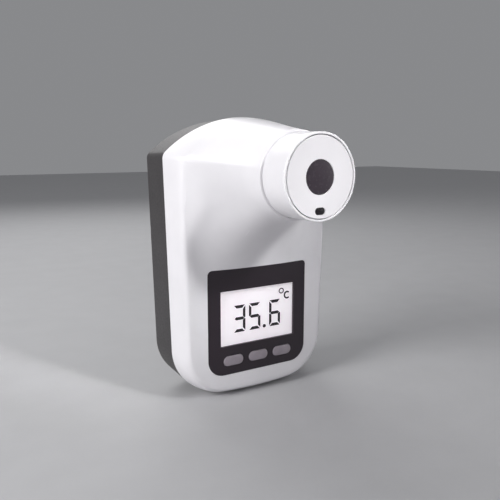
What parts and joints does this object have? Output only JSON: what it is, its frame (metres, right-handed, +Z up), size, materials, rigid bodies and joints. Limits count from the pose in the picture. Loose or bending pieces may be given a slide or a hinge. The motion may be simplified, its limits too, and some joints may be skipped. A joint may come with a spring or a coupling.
{
  "type": "digital thermometer",
  "caption": "Wall-mounted non-contact infrared thermometer: white front shell with a round sensor nose, display with keys below it, grey rear shell with battery door and hanging slot.",
  "frame": {"origin": "centre of the flat back face that lies against the wall, at mid-height of the case", "axes": "+Z up, -Y out of the front along the sensor nose, +X to the right as seen from the front"},
  "size_m": [0.11, 0.1024, 0.17],
  "materials": {
    "case_grey": "fine moulded texture, satin",
    "door_grey": "fine moulded texture, satin",
    "case_white": "smooth moulded, semi-gloss",
    "bezel_white": "smooth moulded, gloss",
    "dish_white": "smooth moulded, semi-gloss",
    "sensor_dark": "polished infrared filter",
    "proximity_dark": "polished infrared filter",
    "panel_dark": "hard-coated, semi-gloss",
    "clear_window": "polished clear acrylic",
    "lcd_white": "lit display cell",
    "light_guide": "frosted acrylic",
    "led_cream": "moulded lens",
    "holder_plastic": "moulded",
    "zebra_rubber": "banded elastomer",
    "key_grey": "soft silicone",
    "plunger_black": "moulded",
    "switch_steel": "stamped",
    "board_green": "solder mask",
    "chip_black": "moulded",
    "header_cream": "moulded",
    "screw_steel": "zinc plated",
    "nickel": "nickel plated",
    "brass": "turned",
    "cable_grey": "insulated",
    "wire_red": "insulated",
    "wire_black": "insulated",
    "cell_wrap": "printed sleeve, plain"
  },
  "bodies": {
    "case": {"rear_shell": "case_grey", "front_shell": "case_white", "nose_sleeve": "case_white", "nose_bezel": "bezel_white", "sensor_dish": "dish_white", "sensor_window": "sensor_dark", "proximity_window": "proximity_dark", "sensor_holder": "brass", "thermopile_sensor": "nickel", "proximity_sensor": "chip_black", "sensor_board": "board_green", "sensor_screws": "screw_steel", "sensor_cable": "cable_grey", "display_panel": "panel_dark", "lcd_window": "clear_window", "lcd_glass": "lcd_white", "lcd_light_guide": "light_guide", "backlight_leds": "led_cream", "lcd_holder": "holder_plastic", "lcd_connector": "zebra_rubber", "tact_switches": "switch_steel", "main_board": "board_green", "board_chips": "chip_black", "cable_header": "header_cream", "buzzer": "chip_black", "board_screws": "screw_steel", "usb_board": "board_green", "usb_socket": "nickel", "usb_tongue": "chip_black", "usb_lead": "wire_black", "battery_cells": "cell_wrap", "battery_springs": "nickel", "battery_contacts": "nickel", "battery_lead_red": "wire_red", "battery_lead_black": "wire_black", "tripod_insert": "brass", "case_screws": "screw_steel"},
    "button_left": {"button_left": "key_grey", "plunger_left": "plunger_black"},
    "button_middle": {"button_middle": "key_grey", "plunger_middle": "plunger_black"},
    "button_right": {"button_right": "key_grey", "plunger_right": "plunger_black"},
    "battery_door": {"battery_door": "door_grey"}
  },
  "joints": [
    {"name": "button_left_press", "type": "slide", "parent": "case", "child": "button_left", "axis": [0, 1, 0], "range_m": [0, 0.0008], "stiffness_N_per_m": 900, "springref_m": -0.0003},
    {"name": "button_middle_press", "type": "slide", "parent": "case", "child": "button_middle", "axis": [0, 1, 0], "range_m": [0, 0.0008], "stiffness_N_per_m": 900, "springref_m": -0.0003},
    {"name": "button_right_press", "type": "slide", "parent": "case", "child": "button_right", "axis": [0, 1, 0], "range_m": [0, 0.0008], "stiffness_N_per_m": 900, "springref_m": -0.0003},
    {"name": "battery_door_swing", "type": "hinge", "parent": "case", "child": "battery_door", "pos_m": [0, -0.0012, -0.0652], "axis": [-1, 0, 0], "range_deg": [0, 75]}
  ]
}
